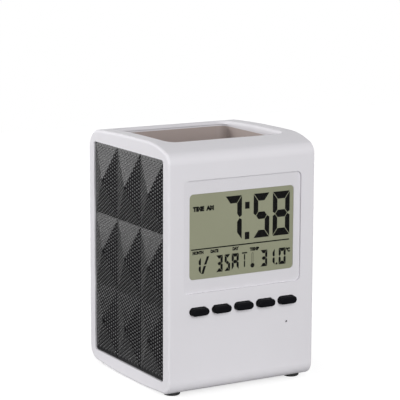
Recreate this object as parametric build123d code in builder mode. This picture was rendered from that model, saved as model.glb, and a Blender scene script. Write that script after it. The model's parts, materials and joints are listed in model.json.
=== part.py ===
from build123d import *
import math
import os

os.makedirs("parts", exist_ok=True)

# Pen holder clock, standing on its feet: X to the right, front face towards -Y, Z up from the ground.
# The origin lies on the ground, below the middle of the body and its buttons. All sizes are in millimetres.

# Body, seen from the side as a soft barrel with flat front and back
body_width = 80.0
body_depth = 80.8
body_height = 119.0
ground_gap = 0.5
wall = 2.2
front_top_radius = 6.0
rear_top_radius = 9.0
front_bottom_radius = 6.0
rear_bottom_radius = 7.0
front_top_rise = 4.6
rear_top_rise = 1.6
front_bottom_rise = 1.5
rear_bottom_rise = 2.0
front_top_run = 14.0
rear_top_run_share = 0.38
bottom_run_share = 0.32
top_round_share = 0.5
bottom_round_share = 0.3

# Side covers and the textured panels set into them
cover_flange = 1.6
cover_edge_radius = 1.3
cover_spigot = 1.6
panel_side_frame = 5.6
panel_top_frame = 7.0
panel_bottom_frame = 6.85
panel_corner_radius = 1.5
panel_plate = 1.2
panel_recess = 0.8
pyramid_height = 2.5
pyramid_tip = 0.3
pyramid_columns = 3
pyramid_rows = 3
peg_radius = 1.4
peg_length = 3.6
peg_boss_radius = 2.6
peg_inset = 2.0
peg_boss_length = 4.4
peg_edge_distance = 16.0

# Pen tub and the rim round its mouth
back_rim = 9.6
side_rim = 8.2
tub_corner_radius = 4.5
tub_set_back = 0.8
tub_wall = 1.6
tub_floor = 1.6
tub_floor_fillet = 2.0
rim_rounding = 1.5
lip_edge = 2.8
lip_depth = 3.8

# Base plate, battery door and feet
base_thickness = 3.0
base_edge = 4.2
door_thickness = 1.8
door_ledge = 1.5
door_roof_gap = 0.2
door_pin_radius = 0.45
door_pin_length = 0.9
latch_width = 6.0
latch_thickness = 0.8
latch_height = 2.6
grip_count = 3
grip_width = 0.8
grip_length = 10.0
grip_depth = 0.4
grip_pitch = 2.0
grip_inset = 4.0
scoop_width = 9.0
scoop_length = 4.0
scoop_depth = 1.2
foot_radius = 4.0
foot_rounding = 0.8
foot_seat_depth = 2.2
foot_edge_x = 6.6
foot_edge_y = 9.0

# Battery bay and what it holds
cell_radius = 5.25
cell_length = 44.5
cell_rounding = 0.4
cell_nub_radius = 1.9
cell_nub_length = 1.0
cell_gap = 0.4
bay_wall = 1.2
contact_thickness = 0.4
contact_width = 7.2
contact_height = 7.0
contact_drop = 0.3
tab_width = 3.0
tab_gap = 0.2
tab_drop = 2.0
spring_length = 4.7
spring_radius = 2.7
spring_wire_radius = 0.35
spring_turns = 4

# Display
lens_side_margin = 7.8
lens_top_margin = 16.7
lens_bottom_margin = 48.9
lens_thickness = 0.8
lens_sink = 0.25
lens_corner_radius = 2.5
lens_chamfer = 0.15
window_side_margin = 11.4
window_top_margin = 23.3
window_bottom_margin = 55.3
window_corner_radius = 2.0
display_lip = 0.4
lcd_side_border = 1.85
lcd_end_border = 2.4
glass_thickness = 1.1
ledge_height = 3.0
lcd_frame_wall = 1.3
strip_thickness = 2.0

# Circuit board and what sits on it
board_gap = 4.8
board_room = 7.0
board_thickness = 1.6
board_side_margin = 9.5
board_corner_radius = 1.6
board_top_margin = 4.2
board_below_buttons = 14.9
post_radius = 2.5
post_inset = 3.3
post_top_inset = 3.6
post_button_gap = 1.1
blob_radius = 5.5
blob_height = 1.6
blob_rounding = 1.2
crystal_offset = 15.0
crystal_radius = 1.0
crystal_length = 6.0
crystal_lead_radius = 0.2
crystal_lead_length = 1.5

# Buttons and their switches
button_count = 5
button_height = 3.6
button_side_margin = 11.05
button_spacing = 2.85
button_proud = 3.0
button_rounding = 0.8
button_drop = 8.45
button_travel = 0.5
flange_margin = 0.7
flange_thickness = 1.0
switch_side = 6.0
switch_height = 2.6
plunger_radius = 1.6
plunger_insertion = 0.7

# Temperature sensor behind its pinhole, and the buzzer
sensor_side_margin = 15.34
sensor_drop = 10.87
pinhole_radius = 0.6
sensor_radius = 1.1
sensor_setback = 0.5
sensor_lead_radius = 0.25
buzzer_radius = 9.0
buzzer_thickness = 0.6
buzzer_crystal_radius = 6.5
buzzer_crystal_thickness = 0.3
buzzer_height = 17.0

# Leads
lead_radius = 0.5
lead_bend = 1.4
lead_rise = 3.5
lead_stub = 0.8
lead_spacing = 2.6
buzzer_lead_spacing = 6.0

# Screws
board_screw_radius = 0.95
board_screw_length = 5.0
board_head_radius = 1.9
board_head_height = 1.2
base_screw_radius = 1.3
base_screw_length = 9.0
base_head_radius = 2.3
base_head_height = 1.6
base_boss_radius = 2.8
base_boss_height = 8.0
base_pad_rise = 2.2
base_head_sink = 1.6
base_screw_side = 20.0
base_screw_edge = 8.5
cross_width = 0.5
cross_depth = 0.6
rib_thickness = 1.6

# Clearances
fit_gap = 0.15
screw_gap = 0.05
hole_gap = 0.3
button_gap = 0.25
door_gap = 0.25
pin_gap = 0.07
plunger_gap = 0.2
touch = 0.01
overrun = 1.0

# Places that follow from the sizes
front_face = -(body_depth - button_proud) / 2
back_face = front_face + body_depth
middle_y = (front_face + back_face) / 2
body_bottom = ground_gap
body_top = ground_gap + body_height
housing_half = body_width / 2 - cover_flange
front_inner = front_face + wall
back_inner = back_face - wall
board_front = front_inner + board_gap
board_back = board_front + board_thickness
tub_front = board_back + board_room
tub_back = back_face - back_rim
tub_center_y = (tub_front + tub_back) / 2
tub_length = tub_back - tub_front
tub_width = body_width - 2 * side_rim
lip_bottom = body_top - lip_depth

door_top = body_bottom + door_thickness
bay_length = cell_length + spring_length + 2 * contact_thickness
bay_width = 2 * (2 * cell_radius + cell_gap)
cell_z = door_top + cell_gap + cell_radius
front_cell_y = middle_y - cell_radius - cell_gap / 2
back_cell_y = middle_y + cell_radius + cell_gap / 2
bay_top = cell_z + cell_radius + cell_gap
tub_bottom = bay_top + bay_wall
door_length = bay_length + 2 * door_ledge
door_width = bay_width + 2 * door_ledge
door_axis_x = door_length / 2 - door_thickness / 2
door_axis_z = body_bottom + door_thickness / 2
base_depth = body_depth - 2 * base_edge

panel_length = body_depth - 2 * panel_side_frame
panel_bottom = body_bottom + panel_bottom_frame
panel_top = body_top - panel_top_frame
panel_height = panel_top - panel_bottom
panel_mid = (panel_top + panel_bottom) / 2
panel_face = body_width / 2 - panel_recess
panel_back = panel_face - panel_plate
peg_rows = (front_inner + peg_inset, back_inner - peg_inset)
peg_heights = (body_bottom + peg_edge_distance, body_top - peg_edge_distance)

lens_width = body_width - 2 * lens_side_margin
lens_height = body_height - lens_top_margin - lens_bottom_margin
lens_bottom = body_bottom + lens_bottom_margin
lens_mid = lens_bottom + lens_height / 2
window_width = body_width - 2 * window_side_margin
window_height = body_height - window_top_margin - window_bottom_margin
window_mid = body_bottom + window_bottom_margin + window_height / 2
button_z = lens_bottom - button_drop
sensor_x = body_width / 2 - sensor_side_margin
sensor_z = button_z - sensor_drop
board_width = body_width - 2 * board_side_margin
board_bottom = button_z - board_below_buttons
board_top = body_top - lens_top_margin + board_top_margin
lcd_width = window_width + 2 * lcd_side_border
lcd_height = window_height + 2 * lcd_end_border
lcd_front = front_face + lens_sink + lens_thickness + display_lip
lcd_ledge_y = lcd_front + glass_thickness
post_x = board_width / 2 - post_inset
lower_post_z = button_z - button_height / 2 - flange_margin - post_button_gap - post_radius
post_heights = (lower_post_z, board_top - post_top_inset)
button_row = body_width - 2 * button_side_margin
button_width = (button_row - (button_count - 1) * button_spacing) / button_count
button_pitch = button_width + button_spacing
button_places = [button_pitch * (index - (button_count - 1) / 2) for index in range(button_count)]
button_names = ["mode", "set", "up", "down", "alarm"]
switch_front = board_front - switch_height
flange_back = front_inner + flange_thickness
plunger_end = switch_front + plunger_insertion
base_top = body_bottom + base_thickness
pad_top = base_top + base_pad_rise
base_cut_top = base_top + max(front_bottom_rise, rear_bottom_rise)
base_screw_x = body_width / 2 - base_screw_side
screw_rows = (front_face + base_screw_edge, back_face - base_screw_edge)
head_seat = body_bottom + base_head_height + base_head_sink
foot_top = body_bottom + foot_seat_depth
foot_x = body_width / 2 - foot_edge_x
foot_rows = (front_face + foot_edge_y, back_face - foot_edge_y)
end_wall = bay_length / 2 + bay_wall
contact_face = bay_length / 2 - contact_thickness
contact_z = bay_top - contact_drop - contact_height / 2
tab_z = bay_top - tab_drop
red_x = end_wall + lead_radius + fit_gap
black_x = red_x + lead_spacing
lead_y = board_back + lead_stub + lead_bend
lead_z = tab_z + contact_thickness / 2 + lead_radius


def body_profile(inset=0):
    """The body's outline seen from the side, drawn inwards by an inset."""
    bottom_run = bottom_run_share * body_depth
    rear_top_run = rear_top_run_share * body_depth
    points = [
        (front_face, body_bottom + front_bottom_rise),
        (front_face + bottom_run, body_bottom),
        (back_face - bottom_run, body_bottom),
        (back_face, body_bottom + rear_bottom_rise),
        (back_face, body_top - rear_top_rise),
        (back_face - rear_top_run, body_top),
        (front_face + front_top_run, body_top),
        (front_face, body_top - front_top_rise),
    ]
    radii = [
        front_bottom_radius,
        shoulder_radius(front_bottom_rise, bottom_run, bottom_round_share),
        shoulder_radius(rear_bottom_rise, bottom_run, bottom_round_share),
        rear_bottom_radius,
        rear_top_radius,
        shoulder_radius(rear_top_rise, rear_top_run, top_round_share),
        shoulder_radius(front_top_rise, front_top_run, top_round_share),
        front_top_radius,
    ]
    with BuildSketch() as profile:
        with BuildLine():
            FilletPolyline(*points, radius=radii, close=True)
        make_face()
        if inset:
            offset(amount=-inset, kind=Kind.INTERSECTION)
    return profile.sketch


def shoulder_radius(rise, run, share):
    """The round between the crown and its shoulder, which takes a share of the shoulder's length."""
    turn = math.atan2(rise, run)
    return share * math.hypot(rise, run) / math.tan(turn / 2)


def side_plane(x):
    """A plane across the body at a given x, facing +X."""
    return Plane.YZ.offset(x)


def front_plane(y):
    """A plane parallel to the front face at a given y, facing the viewer."""
    return Plane.XZ.offset(-y)


def tub_mouth(margin=0):
    """The mouth of the tub with a margin round it, drawn inside an open sketch."""
    with Locations((0, tub_center_y)):
        RectangleRounded(tub_width + 2 * margin, tub_length + 2 * margin, tub_corner_radius + margin)


def finish(builder, name):
    """Label a piece and write it."""
    builder.part.label = name
    export_step(builder.part, f"parts/{name}.step")


corner_screws = [(x, y) for x in (-base_screw_x, base_screw_x) for y in screw_rows]
foot_places = [(x, y) for x in (-foot_x, foot_x) for y in foot_rows]
board_screws = [(x, z) for x in (-post_x, post_x) for z in post_heights]
peg_places = [(y, z) for y in peg_rows for z in peg_heights]

# Main housing: front wall, crowned deck and back wall in one moulding, open at both sides and below
with BuildPart() as main_housing:
    with BuildSketch(Plane.YZ):
        add(body_profile())
    extrude(amount=housing_half, both=True)
    with BuildSketch(Plane.YZ):
        add(body_profile(wall))
    extrude(amount=housing_half, both=True, mode=Mode.SUBTRACT)
    # Collar under the deck, which the tub meets, with the mouth's lip standing over it
    with BuildSketch(Plane.XY.offset(lip_bottom)):
        tub_mouth(tub_set_back + tub_wall)
    extrude(amount=lip_depth - wall)
    with BuildSketch(Plane.XY.offset(lip_bottom)):
        tub_mouth(tub_set_back)
    extrude(amount=lip_depth - lip_edge, mode=Mode.SUBTRACT)
    with BuildSketch(Plane.XY.offset(lip_bottom)):
        tub_mouth()
    extrude(amount=lip_depth + overrun, mode=Mode.SUBTRACT)
    mouth_edges = main_housing.edges().filter_by(
        lambda edge: abs(edge.center().X) < tub_width / 2 + touch
        and tub_front - touch < edge.center().Y < tub_back + touch
        and edge.bounding_box().min.Z > body_top - wall
    )
    fillet(mouth_edges, rim_rounding)
    # Opening for the base plate
    with BuildSketch(Plane.XY):
        with Locations((0, middle_y)):
            Rectangle(body_width, base_depth)
    extrude(amount=base_cut_top, mode=Mode.SUBTRACT)
    # Display recess and window
    with BuildSketch(front_plane(front_face)):
        with Locations((0, lens_mid)):
            RectangleRounded(lens_width, lens_height, lens_corner_radius)
    extrude(amount=-(lens_thickness + lens_sink), mode=Mode.SUBTRACT)
    # Pocket for the display glass behind the window
    with BuildSketch(front_plane(front_inner)):
        with Locations((0, window_mid)):
            Rectangle(lcd_width + 2 * fit_gap, lcd_height + 2 * fit_gap)
    extrude(amount=front_inner - lcd_front, mode=Mode.SUBTRACT)
    with BuildSketch(front_plane(front_face)):
        with Locations((0, window_mid)):
            RectangleRounded(window_width, window_height, window_corner_radius)
        with Locations([(x, button_z) for x in button_places]):
            SlotOverall(button_width + 2 * button_gap, button_height + 2 * button_gap)
        with Locations((sensor_x, sensor_z)):
            Circle(pinhole_radius)
    extrude(amount=-(wall + touch), mode=Mode.SUBTRACT)
    # Posts that carry the circuit board
    with BuildSketch(front_plane(board_front)):
        with Locations(board_screws):
            Circle(post_radius)
    extrude(amount=board_gap + touch)
    with BuildSketch(front_plane(board_front)):
        with Locations(board_screws):
            Circle(board_screw_radius + screw_gap)
    extrude(amount=board_gap, mode=Mode.SUBTRACT)
    # Bosses for the pegs of the side covers
    for side in (-1, 1):
        boss_face = side * (housing_half - cover_spigot)
        with BuildSketch(side_plane(boss_face)):
            with Locations(peg_places):
                Circle(peg_boss_radius)
        extrude(amount=-side * peg_boss_length)
        with BuildSketch(side_plane(boss_face)):
            with Locations(peg_places):
                Circle(peg_radius + screw_gap)
        extrude(amount=-side * (peg_length + hole_gap), mode=Mode.SUBTRACT)
    # Bosses for the base screws, tied to the walls by ribs
    with BuildSketch(Plane.XY.offset(pad_top)):
        with Locations(corner_screws):
            Circle(base_boss_radius)
        for x, y in corner_screws:
            inner = front_inner if y < middle_y else back_inner
            with Locations((x, (y + inner) / 2)):
                Rectangle(rib_thickness, abs(inner - y) + 2 * touch)
    extrude(amount=base_boss_height)
    with BuildSketch(Plane.XY.offset(pad_top)):
        with Locations(corner_screws):
            Circle(base_screw_radius + screw_gap)
    extrude(amount=head_seat + base_screw_length + hole_gap - pad_top, mode=Mode.SUBTRACT)
finish(main_housing, "main_housing")

# Side covers: a flange with a softly rounded edge and a spigot inside the housing
with BuildPart() as right_side_cover:
    with BuildSketch(side_plane(body_width / 2 - cover_flange)):
        add(body_profile())
    extrude(amount=cover_flange)
    rounded_edges = right_side_cover.faces().sort_by(Axis.X)[-1].edges()
    fillet(rounded_edges, cover_edge_radius)
    with BuildSketch(side_plane(housing_half - cover_spigot)):
        add(body_profile(wall + fit_gap))
    extrude(amount=cover_spigot)
    with BuildSketch(side_plane(panel_back)):
        with Locations((middle_y, panel_mid)):
            RectangleRounded(panel_length, panel_height, panel_corner_radius)
    extrude(amount=panel_plate + panel_recess + overrun, mode=Mode.SUBTRACT)
    with BuildSketch(side_plane(housing_half - cover_spigot)):
        with Locations(peg_places):
            Circle(peg_radius)
    extrude(amount=-peg_length)
finish(right_side_cover, "right_side_cover")

with BuildPart() as left_side_cover:
    mirror(right_side_cover.part, about=Plane.YZ)
finish(left_side_cover, "left_side_cover")

# Textured panels: a plate with rows of low pyramids that meet in straight valleys
cell_wide = (panel_length - 2 * fit_gap) / pyramid_columns
cell_tall = (panel_height - 2 * fit_gap) / pyramid_rows
with BuildPart() as right_textured_panel:
    with BuildSketch(side_plane(panel_back)):
        with Locations((middle_y, panel_mid)):
            RectangleRounded(panel_length - 2 * fit_gap, panel_height - 2 * fit_gap, panel_corner_radius)
    extrude(amount=panel_plate)
    for column in range(pyramid_columns):
        for row in range(pyramid_rows):
            pyramid_y = middle_y + cell_wide * (column - (pyramid_columns - 1) / 2)
            pyramid_z = panel_mid + cell_tall * (row - (pyramid_rows - 1) / 2)
            with BuildSketch(side_plane(panel_face)):
                with Locations((pyramid_y, pyramid_z)):
                    Rectangle(cell_wide, cell_tall)
            with BuildSketch(side_plane(panel_face + pyramid_height)):
                with Locations((pyramid_y, pyramid_z)):
                    Rectangle(pyramid_tip, pyramid_tip * cell_tall / cell_wide)
            loft()
    with BuildSketch(side_plane(panel_back)):
        with Locations((middle_y, panel_mid)):
            RectangleRounded(panel_length - 2 * fit_gap, panel_height - 2 * fit_gap, panel_corner_radius)
    extrude(amount=panel_plate + pyramid_height + overrun, mode=Mode.INTERSECT)
finish(right_textured_panel, "right_textured_panel")

with BuildPart() as left_textured_panel:
    mirror(right_textured_panel.part, about=Plane.YZ)
finish(left_textured_panel, "left_textured_panel")

# Pen tub: a plain cup that hangs under the collar and stands on the battery bay
with BuildPart() as pen_tub:
    with BuildSketch(Plane.XY.offset(tub_bottom)):
        tub_mouth(tub_set_back + tub_wall)
    extrude(amount=lip_bottom - tub_bottom)
    with BuildSketch(Plane.XY.offset(tub_bottom + tub_floor)):
        tub_mouth(tub_set_back)
    extrude(amount=lip_bottom - tub_bottom, mode=Mode.SUBTRACT)
    floor_face = pen_tub.faces().filter_by(Axis.Z).sort_by(Axis.Z)[1]
    fillet(floor_face.edges(), tub_floor_fillet)
finish(pen_tub, "pen_tub")

# Base plate: the crowned bottom with the battery bay, screw pads, foot seats and the door's pocket
with BuildPart() as base_plate:
    with BuildSketch(Plane.YZ):
        add(body_profile())
    extrude(amount=housing_half, both=True)
    with BuildSketch(Plane.YZ):
        add(body_profile(base_thickness))
    extrude(amount=housing_half, both=True, mode=Mode.SUBTRACT)
    with BuildSketch(Plane.XY):
        with Locations((0, middle_y)):
            Rectangle(2 * housing_half, base_depth - 2 * fit_gap)
    extrude(amount=base_cut_top, mode=Mode.INTERSECT)
    # Room above the plate's ends for the spigots of the side covers
    for side in (-1, 1):
        with BuildSketch(side_plane(side * (housing_half - cover_spigot - fit_gap))):
            add(body_profile(wall))
        extrude(amount=side * (cover_spigot + fit_gap), mode=Mode.SUBTRACT)
    with BuildSketch(Plane.XY.offset(door_top)):
        with Locations((0, middle_y)):
            Rectangle(bay_length + 2 * bay_wall, bay_width + 2 * bay_wall)
    extrude(amount=tub_bottom - door_top)
    with BuildSketch(Plane.XY.offset(base_top - touch)):
        with Locations(corner_screws):
            Circle(base_boss_radius)
    extrude(amount=base_pad_rise + touch)
    with BuildSketch(Plane.XY):
        with Locations((0, middle_y)):
            Rectangle(bay_length, bay_width)
    extrude(amount=bay_top, mode=Mode.SUBTRACT)
    with BuildSketch(Plane.XY):
        with Locations((0, middle_y)):
            Rectangle(door_length + 2 * door_gap, door_width + 2 * door_gap)
    extrude(amount=door_top + door_roof_gap, mode=Mode.SUBTRACT)
    with BuildSketch(front_plane(middle_y)):
        with Locations((door_axis_x, door_axis_z)):
            Circle(door_pin_radius + pin_gap)
    pin_reach = door_width / 2 + door_pin_length + fit_gap
    extrude(amount=pin_reach, both=True, mode=Mode.SUBTRACT)
    # Finger scoop beside the door's free end
    with BuildSketch(Plane.XY):
        with Locations((-door_length / 2, middle_y)):
            RectangleRounded(2 * scoop_length, scoop_width, scoop_length / 2)
    extrude(amount=body_bottom + scoop_depth, mode=Mode.SUBTRACT)
    # Slots for the solder tabs
    with BuildSketch(side_plane(bay_length / 2 - touch)):
        with Locations([(front_cell_y, tab_z), (back_cell_y, tab_z)]):
            Rectangle(tab_width + 2 * tab_gap, contact_thickness + 2 * tab_gap)
    extrude(amount=bay_wall + overrun, mode=Mode.SUBTRACT)
    # Screw holes with seats for the heads, and shallow seats for the feet
    with BuildSketch(Plane.XY):
        with Locations(corner_screws):
            Circle(base_screw_radius + fit_gap)
    extrude(amount=pad_top + overrun, mode=Mode.SUBTRACT)
    with BuildSketch(Plane.XY):
        with Locations(corner_screws):
            Circle(base_head_radius + hole_gap)
    extrude(amount=head_seat, mode=Mode.SUBTRACT)
    with BuildSketch(Plane.XY):
        with Locations(foot_places):
            Circle(foot_radius + fit_gap)
    extrude(amount=foot_top, mode=Mode.SUBTRACT)
finish(base_plate, "base_plate")

# Battery door: turns on two pins at its right end, held shut by a latch tongue at its left end
with BuildPart() as battery_door:
    with BuildSketch(front_plane(middle_y)):
        with Locations(((door_axis_x - door_length / 2) / 2, door_axis_z)):
            Rectangle(door_axis_x + door_length / 2, door_thickness)
        with Locations((door_axis_x, door_axis_z)):
            Circle(door_thickness / 2)
    extrude(amount=door_width / 2, both=True)
    with BuildSketch(front_plane(middle_y)):
        with Locations((door_axis_x, door_axis_z)):
            Circle(door_pin_radius)
    extrude(amount=door_width / 2 + door_pin_length, both=True)
    latch_x = -bay_length / 2 + hole_gap + latch_thickness / 2
    with BuildSketch(Plane.XY.offset(door_top - touch)):
        with Locations((latch_x, middle_y)):
            Rectangle(latch_thickness, latch_width)
    extrude(amount=latch_height + touch)
    with BuildSketch(Plane.XY.offset(body_bottom)):
        for grip in range(grip_count):
            with Locations((-door_length / 2 + grip_inset + grip * grip_pitch, middle_y)):
                Rectangle(grip_width, grip_length)
    extrude(amount=grip_depth, mode=Mode.SUBTRACT)
finish(battery_door, "battery_door")

# Rubber feet: low domes in the base plate's seats
foot_corners = ["front_left", "rear_left", "front_right", "rear_right"]
for corner, place in zip(foot_corners, foot_places):
    with BuildPart() as foot:
        with BuildSketch(Plane.XY):
            with Locations(place):
                Circle(foot_radius)
        extrude(amount=foot_top)
        fillet(foot.faces().sort_by(Axis.Z)[0].edges(), foot_rounding)
    finish(foot, f"{corner}_foot")

# Battery cells, side by side and turned end for end
for number, side, cell_y in ((1, 1, front_cell_y), (2, -1, back_cell_y)):
    with BuildPart() as cell:
        with BuildSketch(side_plane(side * (contact_face - cell_length))):
            with Locations((cell_y, cell_z)):
                Circle(cell_radius)
        extrude(amount=side * (cell_length - cell_nub_length))
        fillet(cell.edges(), cell_rounding)
        with BuildSketch(side_plane(side * contact_face)):
            with Locations((cell_y, cell_z)):
                Circle(cell_nub_radius)
        extrude(amount=-side * (cell_nub_length + contact_thickness))
    finish(cell, f"battery_cell_{number}")

# Contacts: one plate bridges the cells at the left, and two plates with solder tabs close the right end
with BuildPart() as bridge_contact:
    with BuildSketch(side_plane(-bay_length / 2)):
        with Locations((middle_y, contact_z)):
            Rectangle(back_cell_y - front_cell_y + contact_width, contact_height)
    extrude(amount=contact_thickness)
finish(bridge_contact, "bridge_contact")

contacts = {"positive_contact": (front_cell_y, red_x), "negative_contact": (back_cell_y, black_x)}
for name, (cell_y, lead_x) in contacts.items():
    with BuildPart() as contact:
        with BuildSketch(side_plane(contact_face)):
            with Locations((cell_y, contact_z)):
                Rectangle(contact_width, contact_height)
        extrude(amount=contact_thickness)
        with BuildSketch(side_plane(contact_face)):
            with Locations((cell_y, tab_z)):
                Rectangle(tab_width, contact_thickness)
        extrude(amount=lead_x + lead_radius - contact_face)
    finish(contact, name)

# Coil springs press the flat ends of the cells
for name, side, cell_y in (("bridge_spring", -1, front_cell_y), ("negative_spring", 1, back_cell_y)):
    with BuildPart() as spring:
        coil_length = spring_length - 2 * spring_wire_radius - 2 * screw_gap
        coil_start = (side * (contact_face - spring_wire_radius - screw_gap), cell_y, cell_z)
        with BuildLine():
            coil = Helix(coil_length / spring_turns, coil_length, spring_radius, coil_start, (-side, 0, 0))
        with BuildSketch(Plane(origin=coil @ 0, z_dir=coil % 0)):
            Circle(spring_wire_radius)
        sweep(path=coil, is_frenet=True)
    finish(spring, name)

# Display: clear lens in the recess, the glass behind the window, its frame and the connector strip
with BuildPart() as display_lens:
    with BuildSketch(front_plane(front_face + lens_sink)):
        with Locations((0, lens_mid)):
            lens_play = 2 * fit_gap
            RectangleRounded(lens_width - lens_play, lens_height - lens_play, lens_corner_radius - fit_gap)
    extrude(amount=-lens_thickness)
    chamfer(display_lens.faces().sort_by(Axis.Y)[0].edges(), lens_chamfer)
finish(display_lens, "display_lens")

with BuildPart() as lcd_panel:
    with BuildSketch(front_plane(lcd_front)):
        with Locations((0, window_mid)):
            Rectangle(lcd_width, lcd_height)
    extrude(amount=-glass_thickness)
    with BuildSketch(front_plane(lcd_ledge_y)):
        with Locations((0, window_mid + ledge_height / 2)):
            Rectangle(lcd_width, lcd_height - ledge_height)
    extrude(amount=-glass_thickness)
finish(lcd_panel, "lcd_panel")

with BuildPart() as lcd_frame:
    with BuildSketch(front_plane(front_inner)):
        with Locations((0, window_mid)):
            frame_margin = fit_gap + lcd_frame_wall
            Rectangle(lcd_width + 2 * frame_margin, lcd_height + 2 * frame_margin)
            Rectangle(lcd_width + 2 * fit_gap, lcd_height + 2 * fit_gap, mode=Mode.SUBTRACT)
    extrude(amount=-board_gap)
finish(lcd_frame, "lcd_frame")

with BuildPart() as connector_strip:
    with BuildSketch(front_plane(lcd_ledge_y)):
        with Locations((0, window_mid - lcd_height / 2 + ledge_height / 2)):
            Rectangle(window_width, strip_thickness)
    extrude(amount=-(board_front - lcd_ledge_y))
finish(connector_strip, "connector_strip")

# Circuit board with the chip under its blob and the watch crystal on its back
with BuildPart() as circuit_board:
    with BuildSketch(front_plane(board_front)):
        with Locations((0, (board_top + board_bottom) / 2)):
            RectangleRounded(board_width, board_top - board_bottom, board_corner_radius)
        with Locations(board_screws):
            Circle(board_screw_radius + fit_gap, mode=Mode.SUBTRACT)
    extrude(amount=-board_thickness)
finish(circuit_board, "circuit_board")

with BuildPart() as chip_blob:
    with BuildSketch(front_plane(board_back)):
        with Locations((0, window_mid)):
            Circle(blob_radius)
    extrude(amount=-blob_height)
    fillet(chip_blob.faces().sort_by(Axis.Y)[-1].edges(), blob_rounding)
finish(chip_blob, "chip_blob")

with BuildPart() as watch_crystal:
    crystal_z = window_mid - lcd_height / 2
    with BuildSketch(Plane.XY.offset(crystal_z)):
        with Locations((-crystal_offset, board_back + crystal_radius)):
            Circle(crystal_radius)
    extrude(amount=crystal_length)
    with BuildSketch(Plane.XY.offset(crystal_z)):
        with Locations((-crystal_offset, board_back + crystal_radius)):
            with GridLocations(crystal_radius, 0, 2, 1):
                Circle(crystal_lead_radius)
    extrude(amount=-crystal_lead_length)
finish(watch_crystal, "watch_crystal")

# Buttons: a capsule key with a flange behind the wall, a plunger and its switch
for name, x in zip(button_names, button_places):
    with BuildPart() as button:
        with BuildSketch(front_plane(front_face - button_proud)):
            with Locations((x, button_z)):
                SlotOverall(button_width, button_height)
        extrude(amount=-(button_proud + wall))
        fillet(button.faces().sort_by(Axis.Y)[0].edges(), button_rounding)
        with BuildSketch(front_plane(front_inner)):
            with Locations((x, button_z)):
                SlotOverall(button_width + 2 * flange_margin, button_height + 2 * flange_margin)
        extrude(amount=-flange_thickness)
    finish(button, f"{name}_button")
    with BuildPart() as plunger:
        with BuildSketch(front_plane(flange_back)):
            with Locations((x, button_z)):
                Circle(plunger_radius)
        extrude(amount=-(plunger_end - flange_back))
    finish(plunger, f"{name}_switch_plunger")
    with BuildPart() as switch:
        with BuildSketch(front_plane(board_front)):
            with Locations((x, button_z)):
                Rectangle(switch_side, switch_side)
        extrude(amount=switch_height)
        with BuildSketch(front_plane(switch_front)):
            with Locations((x, button_z)):
                Circle(plunger_radius + plunger_gap)
        extrude(amount=-(plunger_insertion + button_travel + plunger_gap), mode=Mode.SUBTRACT)
    finish(switch, f"{name}_switch")

# Temperature sensor: a bead behind the pinhole, on two stiff leads from the board
with BuildPart() as temperature_sensor:
    bead_y = front_inner + sensor_setback + sensor_radius
    with Locations((sensor_x, bead_y, sensor_z)):
        Sphere(sensor_radius)
    with BuildSketch(front_plane(board_front)):
        with Locations((sensor_x, sensor_z)):
            with GridLocations(sensor_radius, 0, 2, 1):
                Circle(sensor_lead_radius)
    extrude(amount=board_front - bead_y)
finish(temperature_sensor, "temperature_sensor")

# Buzzer: a thin disc with its round crystal, glued to the front wall
with BuildPart() as buzzer_disc:
    with BuildSketch(front_plane(front_inner)):
        with Locations((0, buzzer_height)):
            Circle(buzzer_radius)
    extrude(amount=-buzzer_thickness)
    with BuildSketch(front_plane(front_inner + buzzer_thickness)):
        with Locations((0, buzzer_height)):
            Circle(buzzer_crystal_radius)
    extrude(amount=-buzzer_crystal_thickness)
finish(buzzer_disc, "buzzer_disc")

# Leads: thin insulated wires that rise to the board
buzzer_lead_y = front_inner + buzzer_thickness + buzzer_crystal_thickness + lead_radius
lead_routes = {
    "red_battery_lead": [
        (red_x, front_cell_y, lead_z),
        (red_x, lead_y, lead_z),
        (red_x, lead_y, board_bottom + lead_rise),
        (red_x, board_back, board_bottom + lead_rise),
    ],
    "black_battery_lead": [
        (black_x, back_cell_y, lead_z),
        (black_x, lead_y, lead_z),
        (black_x, lead_y, board_bottom + lead_rise),
        (black_x, board_back, board_bottom + lead_rise),
    ],
}
for name, side in (("red_buzzer_lead", 1), ("black_buzzer_lead", -1)):
    lead_x = side * buzzer_lead_spacing / 2
    lead_routes[name] = [
        (lead_x, buzzer_lead_y, buzzer_height),
        (lead_x, buzzer_lead_y, board_bottom + lead_rise),
        (lead_x, board_front, board_bottom + lead_rise),
    ]
for name, route in lead_routes.items():
    with BuildPart() as lead:
        with BuildLine():
            path = FilletPolyline(*route, radius=lead_bend)
        with BuildSketch(Plane(origin=path @ 0, z_dir=path % 0)):
            Circle(lead_radius)
        sweep(path=path)
    finish(lead, name)

# Screws, each with a cross recess in its head
with BuildPart() as board_screw_set:
    with BuildSketch(front_plane(board_back)):
        with Locations(board_screws):
            Circle(board_head_radius)
    extrude(amount=-board_head_height)
    with BuildSketch(front_plane(board_back)):
        with Locations(board_screws):
            Circle(board_screw_radius)
    extrude(amount=board_screw_length)
    with BuildSketch(front_plane(board_back + board_head_height)):
        with Locations(board_screws):
            Rectangle(2 * board_screw_radius, cross_width)
            Rectangle(cross_width, 2 * board_screw_radius)
    extrude(amount=cross_depth, mode=Mode.SUBTRACT)
finish(board_screw_set, "board_screws")

with BuildPart() as base_screw_set:
    with BuildSketch(Plane.XY.offset(head_seat)):
        with Locations(corner_screws):
            Circle(base_head_radius)
    extrude(amount=-base_head_height)
    with BuildSketch(Plane.XY.offset(head_seat)):
        with Locations(corner_screws):
            Circle(base_screw_radius)
    extrude(amount=base_screw_length)
    with BuildSketch(Plane.XY.offset(head_seat - base_head_height)):
        with Locations(corner_screws):
            Rectangle(2 * base_screw_radius, cross_width)
            Rectangle(cross_width, 2 * base_screw_radius)
    extrude(amount=cross_depth, mode=Mode.SUBTRACT)
finish(base_screw_set, "base_screws")
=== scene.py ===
import json
import math

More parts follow.
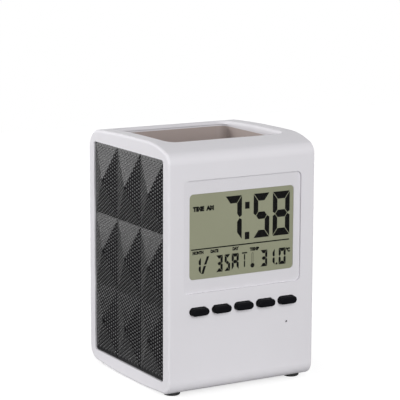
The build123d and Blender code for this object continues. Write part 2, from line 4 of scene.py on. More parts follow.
import bpy
from mathutils import Matrix, Vector


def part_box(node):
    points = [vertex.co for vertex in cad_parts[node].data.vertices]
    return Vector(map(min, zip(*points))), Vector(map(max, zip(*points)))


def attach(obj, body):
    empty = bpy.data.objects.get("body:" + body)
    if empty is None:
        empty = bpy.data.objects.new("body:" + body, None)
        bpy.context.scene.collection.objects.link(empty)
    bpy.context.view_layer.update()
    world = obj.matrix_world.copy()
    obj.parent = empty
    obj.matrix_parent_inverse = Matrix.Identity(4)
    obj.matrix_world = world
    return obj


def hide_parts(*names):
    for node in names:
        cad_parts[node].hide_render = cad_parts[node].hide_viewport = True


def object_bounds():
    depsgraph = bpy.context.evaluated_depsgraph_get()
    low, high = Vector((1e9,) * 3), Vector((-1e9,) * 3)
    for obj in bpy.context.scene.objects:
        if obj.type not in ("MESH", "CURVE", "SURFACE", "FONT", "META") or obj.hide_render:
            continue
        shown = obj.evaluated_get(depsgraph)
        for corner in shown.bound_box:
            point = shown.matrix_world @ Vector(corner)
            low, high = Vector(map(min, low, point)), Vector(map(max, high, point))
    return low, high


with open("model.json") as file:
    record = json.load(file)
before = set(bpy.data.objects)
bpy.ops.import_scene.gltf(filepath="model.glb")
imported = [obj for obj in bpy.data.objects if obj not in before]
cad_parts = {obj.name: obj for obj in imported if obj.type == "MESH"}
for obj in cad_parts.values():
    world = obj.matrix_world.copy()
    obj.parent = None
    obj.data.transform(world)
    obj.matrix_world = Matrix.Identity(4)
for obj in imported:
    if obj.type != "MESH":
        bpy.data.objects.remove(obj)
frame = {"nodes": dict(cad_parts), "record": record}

# Pen holder clock: camera, light and floor, the finish of every piece, the panels' studs, the lens
# and the display's marks. Lengths are in metres, and MM turns millimetres into them.

cad_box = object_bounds()
MM = 0.001
CLOCK = "clock_body"

# Camera, as solved from the straight edges of the body in the photograph
CAMERA_PLACE = Vector((-428.69, -730.24, 239.56)) * MM
CAMERA_TARGET = Vector((-23.67, -38.9, 93.58)) * MM
CAMERA_ROLL = math.radians(0.2413)
CAMERA_LENS = 159.16
SENSOR_WIDTH = 36.0

# Light: each lamp gives its share of the light that shows a white surface as white, and
# FULL_LIGHT is the power in watts that a lamp one metre away needs for the whole of it
FULL_LIGHT = math.pi**2
BACKGROUND_LEVEL = 1.0
AMBIENT_LEVEL = 0.22
LAMPS = {
    "key": {"place": (-0.25, -1.40, 0.50), "size": 1.1, "share": 0.90},
    "left": {"place": (-1.15, 0.40, 0.40), "size": 0.35, "share": 0.62},
    "left_back": {"place": (-0.70, 1.05, 0.10), "size": 0.5, "share": 0.14},
    "right": {"place": (1.30, 0.20, 0.25), "size": 0.9, "share": 0.38},
    "back": {"place": (-0.15, 1.40, 0.45), "size": 0.9, "share": 0.18},
    "top": {"place": (0.10, 0.10, 1.50), "size": 0.9, "share": 0.03},
}

# Floor: its grey and its glow change from the near values to the far ones between two radii
FLOOR_SIZE = 1.6
FLOOR_NEAR = {"grey": 0.50, "glow": 0.70, "reach": 0.045}
FLOOR_FAR = {"grey": 0.16, "glow": 0.95, "reach": 0.085}

# Node sockets of a colour mix, which share their names with those of other data types
MIX_FIRST, MIX_SECOND, MIX_RESULT = 6, 7, 2

# Noise: its detail for a plain grain, for most uses and for clouds, and where most of it lies
GRAIN_DETAIL = 1.0
NOISE_DETAIL = 2.0
CLOUD_DETAIL = 3.0
NOISE_SPAN = (0.3, 0.7)

# Plastics and rubbers: the values that set each apart from a plain moulding
CLOUD_SIZE = 18 * MM
GLOSS_PATCH = 3 * MM
GLOSS_SPREAD = 0.04
PLASTICS = {
    "body_white": {
        "colour": (0.703, 0.690, 0.722), "roughness": 0.42, "mottle": 0.012, "specular": 0.2,
    },
    # painted shade: the tub is white plastic, but its colour is a dark warm grey-brown that stands
    # in for the shade inside the tub and the warm light bounced into it
    "tub_white": {"colour": (0.375, 0.315, 0.295), "roughness": 0.6, "mottle": 0.02},
    "panel_black": {
        "colour": (0.004, 0.004, 0.005), "roughness": 0.17, "mottle": 0.1, "specular": 0.15,
    },
    # painted highlight: the studs are the same black plastic as the plate, drawn about ten times
    # lighter to stand in for the sheen that each dome catches
    "panel_studs": {
        "colour": (0.045, 0.0445, 0.046), "roughness": 0.18, "mottle": 0.1, "specular": 0.36,
    },
    "button_black": {
        "colour": (0.0045, 0.0045, 0.006), "roughness": 0.55, "mottle": 0.1, "specular": 0.05,
        "grain": 0.15 * MM,
    },
    "foot_rubber": {
        "colour": (0.010, 0.010, 0.011), "roughness": 0.7, "mottle": 0.15,
        "grain": 0.2 * MM, "depth": 0.02 * MM,
    },
    "display_ink": {"colour": (0.003, 0.003, 0.0025), "roughness": 0.5, "specular": 0.05},
    "frame_grey": {"colour": (0.45, 0.45, 0.46), "roughness": 0.5},
    "strip_rubber": {"colour": (0.16, 0.18, 0.20), "roughness": 0.6, "mottle": 0.2},
    "chip_black": {
        "colour": (0.01, 0.01, 0.01), "roughness": 0.25, "grain": 1.2 * MM, "depth": 0.03 * MM,
    },
    "sensor_black": {"colour": (0.012, 0.012, 0.012), "roughness": 0.3},
    "lead_red": {"colour": (0.50, 0.012, 0.012), "roughness": 0.4, "mottle": 0.08},
    "lead_black": {"colour": (0.012, 0.012, 0.012), "roughness": 0.4, "mottle": 0.1},
    "switch_black": {"colour": (0.018, 0.018, 0.018), "roughness": 0.45},
    "plunger_white": {"colour": (0.55, 0.54, 0.5), "roughness": 0.5},
}

# Metals: the run scales the streaks along each axis, and a small number draws them out
STREAK_SIZE = 0.12 * MM
STREAK_DEPTH = 0.004 * MM
STREAK_SHADES = (0.82, 1.08)
STREAK_GLOSS = (-0.08, 0.1)
METALS = {
    "crystal_steel": {"colour": (0.62, 0.62, 0.60), "roughness": 0.3},
    "buzzer_brass": {"colour": (0.72, 0.52, 0.22), "roughness": 0.32, "run": (1, 1, 0.3)},
    "contact_steel": {"colour": (0.66, 0.66, 0.62), "roughness": 0.28},
    "screw_steel": {"colour": (0.62, 0.62, 0.60), "roughness": 0.34, "run": (1, 1, 1)},
}

# Lens, display glass, circuit board and battery jacket: pairs of colours and of roughness
LENS_ALPHA = 0.015
LENS_COLOURS = ((0.10, 0.10, 0.11), (0.16, 0.16, 0.17))
LENS_GLOSS = (0.04, 0.1)
LENS_SIZES = {"clouds": 20 * MM, "gloss": 9 * MM, "waves": 14 * MM, "depth": 0.01 * MM}
LCD_SPECULAR = 0.35
LCD_COLOURS = ((0.272, 0.279, 0.189), (0.301, 0.308, 0.215))
LCD_GLOSS = (0.3, 0.4)
LCD_SIZES = {"clouds": 26 * MM, "gloss": 0.4 * MM, "grain": 0.12 * MM, "depth": 0.004 * MM}
BOARD_COAT = 0.3
BOARD_COLOURS = ((0.012, 0.11, 0.035), (0.03, 0.2, 0.07))
BOARD_GLOSS = (0.22, 0.34)
BOARD_SIZES = {"tracks": 9 * MM, "gloss": 2 * MM, "depth": 0.03 * MM}
BOARD_TRACK_WIDTH = 0.04
CELL_METALLIC = 0.6
CELL_COAT = 0.5
CELL_COLOURS = ((0.035, 0.04, 0.05), (0.55, 0.27, 0.1))
CELL_GLOSS = (0.25, 0.36)
CELL_SIZES = {"edge": 0.2 * MM, "gloss": 1.5 * MM, "grain": 0.5 * MM, "depth": 0.01 * MM}
CELL_BAND_SHARE = 0.25

# Studs of the textured panels: a triangular lattice of low domes
STUD_PITCH = 1.73 * MM
STUD_RADIUS = 0.66 * MM
STUD_HEIGHT = 0.24 * MM
STUD_SINK = 0.05 * MM
STUD_SMALLEST = STUD_RADIUS / 4
STUD_REACH = 0.75        # how far a stud may spread towards its pyramid's tip, as a share
STUD_SIDES = 8
STUD_RINGS = 2
PANEL_PLATE = 1.2 * MM
PANEL_COLUMNS = 3
PANEL_ROWS = 3

# Lens and display film, which fit the display's recess and its window
LENS_CORNER = 2.5 * MM
LENS_CHAMFER = 0.15 * MM
LENS_SEAT_GAP = 0.03 * MM
FILM_THICKNESS = 0.15 * MM
FILM_GAP = 0.05 * MM
FILM_CORNER = 1.95 * MM
WINDOW = (-28.6 * MM, 28.6 * MM, 55.8 * MM, 96.2 * MM)

# Display marks: sizes in metres, and tables of places in millimetres across (x) and up (z)
INK_THICKNESS = 0.03 * MM
INK_RISE = 0.01 * MM
BIG_DIGIT_BOTTOM = 72.3 * MM
BIG_DIGIT_HEIGHT = 21.5 * MM
BIG_BAR = (2.85 * MM, 3.8 * MM)
BIG_GAP = 0.28 * MM
BIG_GLYPHS = [
    ("7", (-9.3, 0.0)),
    ("5", (6.2, 15.3)),
    ("8", (16.9, 26.7)),
]
SMALL_DIGIT_BOTTOM = 58.15 * MM
SMALL_DIGIT_HEIGHT = 8.1 * MM
SMALL_BAR = (1.35 * MM, 1.75 * MM)
SMALL_GAP = 0.12 * MM
SMALL_GLYPHS = [
    ("1", (-24.4, -22.2)),
    ("3", (-14.0, -10.4)),
    ("5", (-9.5, -6.3)),
    ("A", (-5.6, -1.6)),
    ("3", (10.4, 14.3)),
    ("1", (16.3, 18.5)),
    ("0", (20.6, 24.7)),
]
SEGMENTS = {
    "0": "abcdef", "1": "bc", "3": "abcdg", "5": "acdfg", "7": "abc", "8": "abcdefg", "A": "abcefg",
}
MITRE_LIMIT = 0.3
CAPTIONS = [
    ("TIME", (-26.7, -20.6), (87.9, 90.3)),
    ("AM", (-19.6, -15.4), (87.9, 90.3)),
    ("MONTH", (-26.8, -20.9), (67.6, 69.3)),
    ("DATE", (-17.1, -12.8), (67.6, 69.3)),
    ("DAY", (-5.1, -1.6), (67.6, 69.3)),
    ("TEMP", (4.4, 9.6), (66.4, 68.1)),
    ("°C", (24.8, 27.1), (63.8, 66.1)),
]
CAPTION_WEIGHT = 0.09
CAPTION_CURVE_STEPS = 4
# Rectangles as left, right, bottom and top: the colon's dots and the dividing line, then the T
BARS = [
    (1.6, 4.1, 72.3, 75.8),
    (1.6, 4.1, 86.9, 90.2),
    (-27.6, 26.5, 69.75, 70.35),
]
LETTER_T = [
    (0.1, 3.0, 65.5, 66.2),
    (1.2, 1.9, 62.5, 65.2),
    (1.2, 1.9, 59.1, 62.0),
]
# The date's slash in two strokes, and the decimal point and thermometer bulb as x, z and radius
SLASHES = [
    [(-22.1, 58.2), (-20.8, 58.2), (-19.5, 61.9), (-20.8, 61.9)],
    [(-20.6, 62.5), (-19.3, 62.5), (-17.8, 66.3), (-19.1, 66.3)],
]
DOTS = [(19.5, 58.8, 0.55), (6.0, 59.4, 1.1)]
# The thermometer's stem: its middle, bottom and top, its half width and the width of its line
STEM = (5.95, 59.6, 65.1, 0.48, 0.2)
DOT_SIDES = 24
CORNER_STEPS = 6
STEM_STEPS = 8


def make_camera():
    """The camera looks from its place to its target, with a slight roll."""
    camera = bpy.data.objects.new("camera", bpy.data.cameras.new("camera"))
    bpy.context.scene.collection.objects.link(camera)
    camera.data.lens = CAMERA_LENS
    camera.data.sensor_width = SENSOR_WIDTH
    aim = (CAMERA_TARGET - CAMERA_PLACE).to_track_quat("-Z", "Y").to_matrix()
    turn = Matrix.Rotation(CAMERA_ROLL, 3, "Z")
    camera.matrix_world = Matrix.Translation(CAMERA_PLACE) @ (aim @ turn).to_4x4()
    bpy.context.scene.camera = camera


def seen_sharply(tree, *kinds):
    """1 on rays from the camera and rays of the kinds named, and 0 on all others."""
    path = tree.nodes.new("ShaderNodeLightPath")
    seen = path.outputs["Is Camera Ray"]
    for kind in kinds:
        either = tree.nodes.new("ShaderNodeMath")
        either.operation = "MAXIMUM"
        tree.links.new(seen, either.inputs[0])
        tree.links.new(path.outputs[kind], either.inputs[1])
        seen = either.outputs["Value"]
    return seen


def make_world():
    """Even soft light from all round, in front of a white background."""
    world = bpy.data.worlds.new("studio")
    bpy.context.scene.world = world
    world.use_nodes = True
    tree = world.node_tree
    ambient = tree.nodes["Background"]
    background = tree.nodes.new("ShaderNodeBackground")
    for node, level in ((ambient, AMBIENT_LEVEL), (background, BACKGROUND_LEVEL)):
        node.inputs["Color"].default_value = (1, 1, 1, 1)
        node.inputs["Strength"].default_value = level
    mix = tree.nodes.new("ShaderNodeMixShader")
    seen = seen_sharply(tree, "Is Glossy Ray", "Is Transmission Ray")
    tree.links.new(seen, mix.inputs["Fac"])
    tree.links.new(ambient.outputs["Background"], mix.inputs[1])
    tree.links.new(background.outputs["Background"], mix.inputs[2])
    tree.links.new(mix.outputs["Shader"], tree.nodes["World Output"].inputs["Surface"])


def make_lamps():
    """Square softboxes, each aimed at the object's middle."""
    middle = (cad_box[0] + cad_box[1]) / 2
    for name, lamp in LAMPS.items():
        data = bpy.data.lights.new(name, "AREA")
        data.shape = "SQUARE"
        data.size = lamp["size"]
        away = Vector(lamp["place"]) - middle
        data.energy = lamp["share"] * FULL_LIGHT * away.length_squared
        light = bpy.data.objects.new(name, data)
        bpy.context.scene.collection.objects.link(light)
        light.location = lamp["place"]
        light.rotation_euler = away.to_track_quat("Z", "Y").to_euler()


def make_floor():
    """A floor that is pale paper under the object, and fades into the background further out."""
    half = FLOOR_SIZE / 2
    corners = [(-half, -half, 0), (half, -half, 0), (half, half, 0), (-half, half, 0)]
    mesh = bpy.data.meshes.new("floor")
    mesh.from_pydata(corners, [], [(0, 1, 2, 3)])
    floor = bpy.data.objects.new("floor", mesh)
    bpy.context.scene.collection.objects.link(floor)
    material = bpy.data.materials.new("floor")
    material.use_nodes = True
    tree = material.node_tree
    tree.nodes.clear()
    distance = tree.nodes.new("ShaderNodeVectorMath")
    distance.operation = "LENGTH"
    tree.links.new(tree.nodes.new("ShaderNodeTexCoord").outputs["Object"], distance.inputs[0])

    def fading(value):
        """One of the floor's values, which changes with the distance from the middle."""
        ramp = tree.nodes.new("ShaderNodeMapRange")
        ramp.interpolation_type = "SMOOTHSTEP"
        ramp.inputs["From Min"].default_value = FLOOR_NEAR["reach"]
        ramp.inputs["From Max"].default_value = FLOOR_FAR["reach"]
        ramp.inputs["To Min"].default_value = FLOOR_NEAR[value]
        ramp.inputs["To Max"].default_value = FLOOR_FAR[value]
        tree.links.new(distance.outputs["Value"], ramp.inputs["Value"])
        return ramp.outputs["Result"]

    diffuse = tree.nodes.new("ShaderNodeBsdfDiffuse")
    tree.links.new(fading("grey"), diffuse.inputs["Color"])
    scale = tree.nodes.new("ShaderNodeMath")
    scale.operation = "MULTIPLY"
    tree.links.new(seen_sharply(tree), scale.inputs[0])
    tree.links.new(fading("glow"), scale.inputs[1])
    glow = tree.nodes.new("ShaderNodeEmission")
    tree.links.new(scale.outputs["Value"], glow.inputs["Strength"])
    both = tree.nodes.new("ShaderNodeAddShader")
    tree.links.new(diffuse.outputs["BSDF"], both.inputs[0])
    tree.links.new(glow.outputs["Emission"], both.inputs[1])
    output = tree.nodes.new("ShaderNodeOutputMaterial")
    tree.links.new(both.outputs["Shader"], output.inputs["Surface"])
    mesh.materials.append(material)


class Finish:
    """A material with one Principled shader, and short calls for the nodes that vary it."""

    def __init__(self, name, **sockets):
        """Sockets are named as on the shader, with _ for a blank."""
        self.material = bpy.data.materials.new(name)
        self.material.use_nodes = True
        self.tree = self.material.node_tree
        self.shader = self.tree.nodes["Principled BSDF"]
        self.place = self.tree.nodes.new("ShaderNodeTexCoord").outputs["Object"]
        for socket, value in sockets.items():
            self.shader.inputs[socket.replace("_", " ")].default_value = value

    def link(self, source, socket):
        self.tree.links.new(source, self.shader.inputs[socket])

    def stretched(self, scale):
        """Object coordinates, scaled differently along each axis."""
        mapping = self.tree.nodes.new("ShaderNodeMapping")
        mapping.inputs["Scale"].default_value = scale
        self.tree.links.new(self.place, mapping.inputs["Vector"])
        return mapping.outputs["Vector"]

    def noise(self, size, detail=NOISE_DETAIL, vector=None):
        """Cloudy noise whose features are about this size."""
        node = self.tree.nodes.new("ShaderNodeTexNoise")
        node.inputs["Scale"].default_value = 1 / size
        node.inputs["Detail"].default_value = detail
        self.tree.links.new(vector or self.place, node.inputs["Vector"])
        return node.outputs["Fac"]

    def between(self, factor, low, high, span=NOISE_SPAN):
        """A number that runs from low to high as the factor runs over the span."""
        node = self.tree.nodes.new("ShaderNodeMapRange")
        node.inputs["From Min"].default_value, node.inputs["From Max"].default_value = span
        node.inputs["To Min"].default_value, node.inputs["To Max"].default_value = low, high
        self.tree.links.new(factor, node.inputs["Value"])
        return node.outputs["Result"]

    def tint(self, factor, first, second):
        """A base colour that runs from one colour to another with the factor."""
        node = self.tree.nodes.new("ShaderNodeMix")
        node.data_type = "RGBA"
        self.tree.links.new(factor, node.inputs["Factor"])
        node.inputs[MIX_FIRST].default_value = (*first, 1)
        node.inputs[MIX_SECOND].default_value = (*second, 1)
        self.link(node.outputs[MIX_RESULT], "Base Color")

    def gloss(self, factor, low, high):
        """A roughness that runs from low to high with the factor."""
        self.link(self.between(factor, low, high), "Roughness")

    def bump(self, height, depth):
        """Relief of this depth from a height between 0 and 1."""
        node = self.tree.nodes.new("ShaderNodeBump")
        node.inputs["Strength"].default_value = 1.0
        node.inputs["Distance"].default_value = depth
        self.tree.links.new(height, node.inputs["Height"])
        self.link(node.outputs["Normal"], "Normal")


def shade(colour, factor):
    """A colour made darker or lighter by a factor."""
    return tuple(min(1.0, channel * factor) for channel in colour)


def plastic(
    name, colour, roughness, mottle=0.03, specular=0.5, grain=0.25 * MM, depth=0.008 * MM
):
    """Moulded plastic or rubber: faintly cloudy colour, uneven gloss and a fine grain."""
    finish = Finish(name, Specular_IOR_Level=specular)
    clouds = finish.noise(CLOUD_SIZE, CLOUD_DETAIL)
    finish.tint(clouds, shade(colour, 1 - mottle), shade(colour, 1 + mottle))
    patches = finish.noise(GLOSS_PATCH)
    finish.gloss(patches, roughness - GLOSS_SPREAD, roughness + GLOSS_SPREAD)
    finish.bump(finish.noise(grain, GRAIN_DETAIL), depth)
    return finish.material


def metal(name, colour, roughness, run=(1, 1, 0.05)):
    """Plated or drawn metal: streaks along one axis in colour, gloss and relief."""
    finish = Finish(name, Metallic=1.0)
    streaks = finish.noise(STREAK_SIZE, CLOUD_DETAIL, finish.stretched(run))
    finish.tint(streaks, *[shade(colour, factor) for factor in STREAK_SHADES])
    finish.gloss(streaks, *[roughness + change for change in STREAK_GLOSS])
    finish.bump(streaks, STREAK_DEPTH)
    return finish.material


def lens_finish():
    """Clear acrylic sheet: nearly invisible, with the faintest haze and gloss."""
    finish = Finish("lens_clear", Alpha=LENS_ALPHA)
    finish.tint(finish.noise(LENS_SIZES["clouds"]), *LENS_COLOURS)
    finish.gloss(finish.noise(LENS_SIZES["gloss"]), *LENS_GLOSS)
    finish.bump(finish.noise(LENS_SIZES["waves"]), LENS_SIZES["depth"])
    return finish.material


def display_finish():
    """The reflector of a liquid crystal display: olive grey with a very fine grain."""
    finish = Finish("lcd_olive", Specular_IOR_Level=LCD_SPECULAR)
    finish.tint(finish.noise(LCD_SIZES["clouds"]), *LCD_COLOURS)
    finish.gloss(finish.noise(LCD_SIZES["gloss"]), *LCD_GLOSS)
    finish.bump(finish.noise(LCD_SIZES["grain"], GRAIN_DETAIL), LCD_SIZES["depth"])
    return finish.material


def board_finish():
    """Solder mask over copper tracks, which follow the joints of a brick pattern."""
    finish = Finish("board_green", Coat_Weight=BOARD_COAT)
    bricks = finish.tree.nodes.new("ShaderNodeTexBrick")
    bricks.inputs["Scale"].default_value = 1 / BOARD_SIZES["tracks"]
    bricks.inputs["Mortar Size"].default_value = BOARD_TRACK_WIDTH
    finish.tree.links.new(finish.stretched((1, 0, 1)), bricks.inputs["Vector"])
    tracks = bricks.outputs["Fac"]
    finish.tint(tracks, *BOARD_COLOURS)
    finish.gloss(finish.noise(BOARD_SIZES["gloss"]), *BOARD_GLOSS)
    finish.bump(tracks, BOARD_SIZES["depth"])
    return finish.material


def cell_finish():
    """Printed jacket of a battery cell: a dark sleeve with a copper band near one end."""
    finish = Finish("cell_jacket", Metallic=CELL_METALLIC, Coat_Weight=CELL_COAT)
    axes = finish.tree.nodes.new("ShaderNodeSeparateXYZ")
    finish.tree.links.new(finish.place, axes.inputs["Vector"])
    low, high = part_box("battery_cell_1")
    band = high.x - (high.x - low.x) * CELL_BAND_SHARE
    span = (band, band + CELL_SIZES["edge"])
    finish.tint(finish.between(axes.outputs["X"], 0.0, 1.0, span), *CELL_COLOURS)
    finish.gloss(finish.noise(CELL_SIZES["gloss"]), *CELL_GLOSS)
    finish.bump(finish.noise(CELL_SIZES["grain"]), CELL_SIZES["depth"])
    return finish.material


def make_finishes():
    """One material for each slot of the record, the studs and the ink."""
    finishes = {
        "lens_clear": lens_finish(),
        "lcd_olive": display_finish(),
        "board_green": board_finish(),
        "cell_jacket": cell_finish(),
    }
    for name, values in PLASTICS.items():
        finishes[name] = plastic(name, **values)
    for name, values in METALS.items():
        finishes[name] = metal(name, **values)
    return finishes


def dress_nodes(finishes):
    """Give each node the material of its slot."""
    slots = {part["node"]: part["material_slot"] for part in frame["record"]["subparts"]}
    for name, node in frame["nodes"].items():
        node.data.materials.clear()
        node.data.materials.append(finishes[slots[name]])


def add_piece(name, points, faces, material, smooth=False):
    """A new mesh piece that rides on the clock's body."""
    mesh = bpy.data.meshes.new(name)
    mesh.from_pydata(points, [], faces)
    mesh.materials.append(material)
    if smooth:
        mesh.shade_smooth()
    else:
        mesh.shade_flat()
    mesh.validate()
    piece = bpy.data.objects.new(name, mesh)
    bpy.context.scene.collection.objects.link(piece)
    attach(piece, CLOCK)
    return piece


def walls(start, count):
    """Faces between a ring of points and the ring of as many points that follows it."""
    faces = []
    for index in range(count):
        after = (index + 1) % count
        faces.append((start + index, start + count + index, start + count + after, start + after))
    return faces


def lattice(low, high):
    """Places in y and z of the studs' lattice, about the middle of a panel and inside its edges."""
    column_pitch = STUD_PITCH * math.sqrt(3) / 2
    columns = int(((high.y - low.y) / 2 - STUD_RADIUS) / column_pitch)
    rows = int(((high.z - low.z) / 2 - STUD_RADIUS) / STUD_PITCH)
    middle_y, middle_z = (low.y + high.y) / 2, (low.z + high.z) / 2
    for column in range(-columns, columns + 1):
        shift = STUD_PITCH / 2 if column % 2 else 0
        for row in range(-rows, rows + 1):
            y = middle_y + column * column_pitch
            z = middle_z + row * STUD_PITCH + shift
            if z <= high.z - STUD_RADIUS:
                yield y, z


def from_middle(value, low, half):
    """How far a place is from the middle of its cell, in halves of a cell; low starts the first."""
    middle = low + (int((value - low) / (2 * half)) + 0.5) * 2 * half
    return (value - middle) / half


def add_studs(side, material):
    """Low domes over the whole of one textured panel, square to its facets.

    Near a pyramid's tip they are lower and smaller, and so stay inside the panel's box.
    """
    low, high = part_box(f"{side}_textured_panel")
    out = 1 if side == "right" else -1
    relief = high.x - low.x - PANEL_PLATE
    valley = (high.x if out > 0 else -low.x) - relief
    half_wide = (high.y - low.y) / PANEL_COLUMNS / 2
    half_tall = (high.z - low.z) / PANEL_ROWS / 2
    points, faces = [], []
    for y, z in lattice(low, high):
        across, up = from_middle(y, low.y, half_wide), from_middle(z, low.z, half_tall)
        falls_along_y = abs(across) > abs(up)
        surface = valley + relief * (1 - max(abs(across), abs(up)))
        run = half_wide if falls_along_y else half_tall
        slope = relief / run
        room = valley + relief - surface
        radius = min(STUD_RADIUS, STUD_REACH * room / slope)
        if radius < STUD_SMALLEST:
            continue
        height = min(STUD_HEIGHT * radius / STUD_RADIUS, room - slope * radius)
        if falls_along_y:
            normal = Vector((run, math.copysign(relief, across), 0)).normalized()
        else:
            normal = Vector((run, 0, math.copysign(relief, up))).normalized()
        add_dome(points, faces, Vector((surface, y, z)), normal, radius, height, out)
    add_piece(f"{side}_panel_studs", points, faces, material, smooth=True)


def add_dome(points, faces, center, normal, radius, height, out):
    """One closed dome; out is -1 for the left panel, which mirrors the right one."""
    curve = (radius**2 + height**2) / (2 * height)
    edge = math.asin(radius / curve)
    first = normal.orthogonal().normalized()
    second = normal.cross(first)
    start = len(points)
    rings = [(radius, -STUD_SINK)]
    for ring in range(STUD_RINGS):
        angle = edge * (1 - ring / STUD_RINGS)
        rings.append((curve * math.sin(angle), curve * math.cos(angle) - curve + height))
    for reach, rise in rings:
        for side in range(STUD_SIDES):
            turn = 2 * math.pi * side / STUD_SIDES
            spoke = first * math.cos(turn) + second * math.sin(turn)
            place = center + normal * rise + spoke * reach
            points.append((place.x * out, place.y, place.z))
    tip = center + normal * height
    points.append((tip.x * out, tip.y, tip.z))
    top = len(points) - 1

    def face(*corners):
        faces.append(corners if out > 0 else corners[::-1])

    face(*[start + STUD_SIDES - 1 - side for side in range(STUD_SIDES)])
    for ring in range(len(rings)):
        for side in range(STUD_SIDES):
            after = (side + 1) % STUD_SIDES
            here = start + ring * STUD_SIDES
            if ring == len(rings) - 1:
                face(here + side, here + after, top)
            else:
                above = here + STUD_SIDES
                face(here + side, here + after, above + after, above + side)


def inset(outline, distance):
    """A convex outline, given anticlockwise, drawn inwards."""
    moved = []
    count = len(outline)
    for index in range(count):
        before, here, after = outline[index - 1], outline[index], outline[(index + 1) % count]
        first = Vector((here[0] - before[0], here[1] - before[1])).normalized()
        second = Vector((after[0] - here[0], after[1] - here[1])).normalized()
        inwards = Vector((-first.y - second.y, first.x + second.x)).normalized()
        reach = distance / max(MITRE_LIMIT, inwards.dot(Vector((-first.y, first.x))))
        moved.append((here[0] + inwards.x * reach, here[1] + inwards.y * reach))
    return moved


def segment_outlines(left, right, bottom, height, bar, gap):
    """The seven segments of a digit by letter, mitred where they meet and set apart by a gap."""
    thick_x, thick_z = bar
    width = right - left
    inner = width - thick_x
    middle = height / 2
    top = [(0, height), (thick_x, height - thick_z), (inner, height - thick_z), (width, height)]
    side = [
        (width, height),
        (inner, height - thick_z),
        (inner, middle + thick_z / 2),
        (width - thick_x / 2, middle),
        (width, middle + thick_z / 4),
    ]
    crossbar = [
        (thick_x / 2, middle),
        (thick_x, middle - thick_z / 2),
        (inner, middle - thick_z / 2),
        (width - thick_x / 2, middle),
        (inner, middle + thick_z / 2),
        (thick_x, middle + thick_z / 2),
    ]

    def flipped(outline, across, up):
        """The outline turned over left to right, top to bottom or both, still anticlockwise."""
        new = [(width - x if across else x, height - z if up else z) for x, z in outline]
        return new[::-1] if across != up else new

    shapes = {
        "a": top,
        "b": side,
        "c": flipped(side, False, True),
        "d": flipped(top, False, True),
        "e": flipped(side, True, True),
        "f": flipped(side, True, False),
        "g": crossbar,
    }
    placed = {}
    for letter, outline in shapes.items():
        placed[letter] = [(left + x, bottom + z) for x, z in inset(outline, gap / 2)]
    return placed


def glyph_outlines(glyphs, bottom, height, bar, gap):
    """The lit segments of a row of glyphs."""
    outlines = []
    for glyph, (left, right) in glyphs:
        shapes = segment_outlines(left * MM, right * MM, bottom, height, bar, gap)
        outlines += [shapes[letter] for letter in SEGMENTS[glyph]]
    return outlines


def rectangle(left, right, bottom, top):
    return [(left, bottom), (right, bottom), (right, top), (left, top)]


def around(x, z, radius, turn):
    """The point at this turn on a circle."""
    return x + radius * math.cos(turn), z + radius * math.sin(turn)


def disc(x, z, radius):
    return [around(x, z, radius, 2 * math.pi * side / DOT_SIDES) for side in range(DOT_SIDES)]


def rounded(left, right, bottom, top, radius):
    """A rectangle with round corners, anticlockwise."""
    outline = []
    corners = ((right, bottom, -90), (right, top, 0), (left, top, 90), (left, bottom, 180))
    for x, z, start in corners:
        center_x = x - math.copysign(radius, x - (left + right) / 2)
        center_z = z - math.copysign(radius, z - (bottom + top) / 2)
        for step in range(CORNER_STEPS + 1):
            turn = math.radians(start + 90 * step / CORNER_STEPS)
            outline.append(around(center_x, center_z, radius, turn))
    return outline


def stem_outlines():
    """The thermometer's stem: two lines, joined by a half ring in short pieces."""
    middle, bottom, top, reach, line = [value * MM for value in STEM]
    outlines = []
    turns = [math.pi * step / STEM_STEPS for step in range(STEM_STEPS + 1)]
    for first, second in zip(turns, turns[1:]):
        ring = [(reach, first), (reach, second), (reach - line, second), (reach - line, first)]
        outlines.append([around(middle, top, radius, turn) for radius, turn in ring])
    for left in (middle - reach, middle + reach - line):
        outlines.append(rectangle(left, left + line, bottom, top))
    return outlines


def display_outlines():
    """Every filled outline on the display except the captions, in x and z."""
    outlines = glyph_outlines(BIG_GLYPHS, BIG_DIGIT_BOTTOM, BIG_DIGIT_HEIGHT, BIG_BAR, BIG_GAP)
    outlines += glyph_outlines(
        SMALL_GLYPHS, SMALL_DIGIT_BOTTOM, SMALL_DIGIT_HEIGHT, SMALL_BAR, SMALL_GAP
    )
    outlines += [rectangle(*[value * MM for value in bar]) for bar in BARS]
    outlines += [[(x * MM, z * MM) for x, z in slash] for slash in SLASHES]
    outlines += [rectangle(*[value * MM for value in bar]) for bar in LETTER_T]
    outlines += [disc(*[value * MM for value in dot]) for dot in DOTS]
    return outlines + stem_outlines()


def prisms(outlines, front, back):
    """Closed plates from outlines in x and z, between two planes across y."""
    points, faces = [], []
    for outline in outlines:
        start, count = len(points), len(outline)
        points += [(x, front, z) for x, z in outline]
        points += [(x, back, z) for x, z in outline]
        faces.append(tuple(range(start, start + count)))
        faces.append(tuple(range(start + 2 * count - 1, start + count - 1, -1)))
        faces += walls(start, count)
    return points, faces


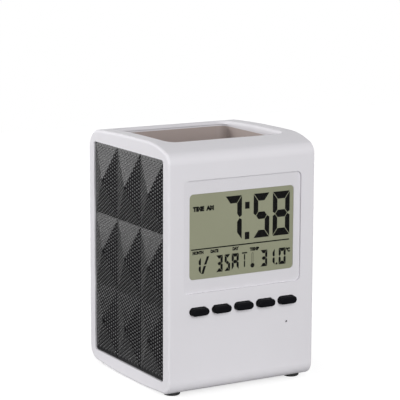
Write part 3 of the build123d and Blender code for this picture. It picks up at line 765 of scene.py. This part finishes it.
def caption_mesh(words, across, up, front):
    """Plain capitals that fill a box on the display, as points and faces."""
    curve = bpy.data.curves.new("caption", "FONT")
    curve.body = words
    curve.extrude = INK_THICKNESS / 2
    curve.resolution_u = CAPTION_CURVE_STEPS
    curve.offset = CAPTION_WEIGHT
    letters = bpy.data.objects.new("caption", curve)
    bpy.context.scene.collection.objects.link(letters)
    bpy.context.view_layer.update()
    evaluated = letters.evaluated_get(bpy.context.evaluated_depsgraph_get())
    mesh = bpy.data.meshes.new_from_object(evaluated)
    low_x, high_x = min(v.co.x for v in mesh.vertices), max(v.co.x for v in mesh.vertices)
    low_y, high_y = min(v.co.y for v in mesh.vertices), max(v.co.y for v in mesh.vertices)
    wide, tall = (across[1] - across[0]) * MM, (up[1] - up[0]) * MM
    points = []
    for vertex in mesh.vertices:
        x = across[0] * MM + wide * (vertex.co.x - low_x) / (high_x - low_x)
        z = up[0] * MM + tall * (vertex.co.y - low_y) / (high_y - low_y)
        points.append((x, front + INK_THICKNESS / 2 - vertex.co.z, z))
    faces = [tuple(polygon.vertices) for polygon in mesh.polygons]
    bpy.data.objects.remove(letters)
    bpy.data.meshes.remove(mesh)
    return points, faces


def add_lens(material):
    """The clear lens in the CAD lens's place, with a chamfered front edge.

    It stands a hair clear of its seat, since two faces in one place would flicker.
    """
    low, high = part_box("display_lens")
    back = high.y - LENS_SEAT_GAP
    edge = rounded(low.x, high.x, low.z, high.z, LENS_CORNER)
    front = rounded(
        low.x + LENS_CHAMFER,
        high.x - LENS_CHAMFER,
        low.z + LENS_CHAMFER,
        high.z - LENS_CHAMFER,
        LENS_CORNER - LENS_CHAMFER,
    )
    count = len(edge)
    rings = ((front, low.y), (edge, low.y + LENS_CHAMFER), (edge, back))
    points = [(x, y, z) for outline, y in rings for x, z in outline]
    faces = [tuple(range(count)), tuple(range(3 * count - 1, 2 * count - 1, -1))]
    faces += walls(0, count) + walls(count, count)
    lens = add_piece("clear_lens", points, faces, material)
    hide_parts("display_lens")


def add_display_film(material):
    """The front polarising film, which fills the window."""
    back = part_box("lcd_panel")[0].y
    left, right, bottom, top = WINDOW
    outline = rounded(
        left + FILM_GAP, right - FILM_GAP, bottom + FILM_GAP, top - FILM_GAP, FILM_CORNER
    )
    points, faces = prisms([outline], back - FILM_THICKNESS, back)
    add_piece("display_film", points, faces, material)


def add_display_marks(material):
    """Digits, bars and captions in black, set into the front of the film."""
    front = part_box("lcd_panel")[0].y - FILM_THICKNESS - INK_RISE
    points, faces = prisms(display_outlines(), front, front + INK_THICKNESS)
    for words, across, up in CAPTIONS:
        more_points, more_faces = caption_mesh(words, across, up, front)
        start = len(points)
        points += more_points
        faces += [tuple(start + index for index in face) for face in more_faces]
    add_piece("display_marks", points, faces, material)


bpy.context.scene.view_settings.view_transform = "Standard"
make_camera()
make_world()
make_lamps()
make_floor()
finishes = make_finishes()
dress_nodes(finishes)
for side in ("left", "right"):
    add_studs(side, finishes["panel_studs"])
add_lens(finishes["lens_clear"])
add_display_film(finishes["lcd_olive"])
add_display_marks(finishes["display_ink"])
